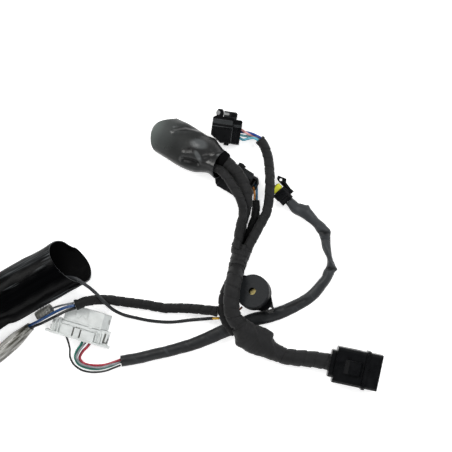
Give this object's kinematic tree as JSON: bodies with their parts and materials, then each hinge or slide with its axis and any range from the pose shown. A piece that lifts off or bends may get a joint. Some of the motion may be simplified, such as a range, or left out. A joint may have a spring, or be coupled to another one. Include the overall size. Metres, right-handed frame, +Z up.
{
  "type": "wiring harness",
  "caption": "Low-voltage vehicle wiring harness laid flat: taped looms, sealed and multi-pin connectors, clear bullet covers, a piezo sounder and soft protective sleeves.",
  "frame": {"origin": "centre of the harness's own box, on the bench it lies on", "axes": "+X along the trunk's end towards the main connector, +Y towards the boot end of the branches, +Z up from the bench"},
  "size_m": [0.3825, 0.247, 0.0315],
  "materials": {
    "cloth_tape": "matte",
    "grey_sleeve": "satin",
    "gloss_sleeve": "gloss",
    "boot_vinyl": "gloss",
    "clear_vinyl": "gloss",
    "black_nylon": "satin",
    "grey_nylon": "satin",
    "white_nylon": "satin",
    "yellow_rubber": "matte",
    "brass": "satin",
    "wire_pink": "satin",
    "wire_navy": "satin",
    "wire_sky": "satin",
    "wire_white": "satin",
    "wire_orange": "satin",
    "wire_blue": "satin",
    "wire_green": "satin",
    "wire_orange_red": "satin",
    "wire_black": "satin",
    "wire_red": "satin",
    "wire_grey": "satin",
    "wire_yellow": "satin"
  },
  "bodies": {
    "root": {"branch_a_loom": "cloth_tape", "branch_b_loom": "cloth_tape", "branch_c_loom": "cloth_tape", "branch_d_loom": "cloth_tape", "branch_e_loom": "cloth_tape", "junction_wrap": "cloth_tape", "trunk_front": "cloth_tape", "trunk_rear_bundle": "cloth_tape", "patch_wrap": "cloth_tape", "trunk_tail": "cloth_tape", "sleeve_g": "grey_sleeve", "thin_sleeve_f": "grey_sleeve", "boot_sleeve": "boot_vinyl", "boot_connector": "black_nylon", "large_sleeve": "gloss_sleeve", "sleeve_connector": "black_nylon", "bullet_boot_upper": "clear_vinyl", "bullet_terminal_upper": "brass", "bullet_boot_lower": "clear_vinyl", "bullet_terminal_lower": "brass", "top_connector_housing": "black_nylon", "top_connector_latch": "grey_nylon", "top_connector_rear_cover": "black_nylon", "top_connector_seal": "grey_nylon", "second_connector_housing": "black_nylon", "second_connector_seal": "grey_nylon", "two_way_housing": "black_nylon", "two_way_seal": "yellow_rubber", "sounder_case": "grey_nylon", "sounder_disc": "brass", "sounder_base": "black_nylon", "white_connector_housing": "white_nylon", "white_connector_retainer": "white_nylon", "main_connector_housing": "black_nylon", "wire_pink": "wire_pink", "wire_navy": "wire_navy", "wire_sky": "wire_sky", "wire_white": "wire_white", "wire_orange": "wire_orange", "wire_clear": "wire_white", "wire_blue": "wire_blue", "wire_green": "wire_green", "wire_brown": "wire_orange_red", "wire_sounder": "wire_orange_red", "wire_yellow": "wire_yellow", "bullet_wire_blue": "wire_blue", "bullet_wire_black": "wire_black", "bullet_wire_grey": "wire_grey", "loom_wire_black": "wire_black", "loom_wire_teal": "wire_green", "loom_wire_red": "wire_red", "loom_wire_grey": "wire_grey"}
  },
  "joints": []
}
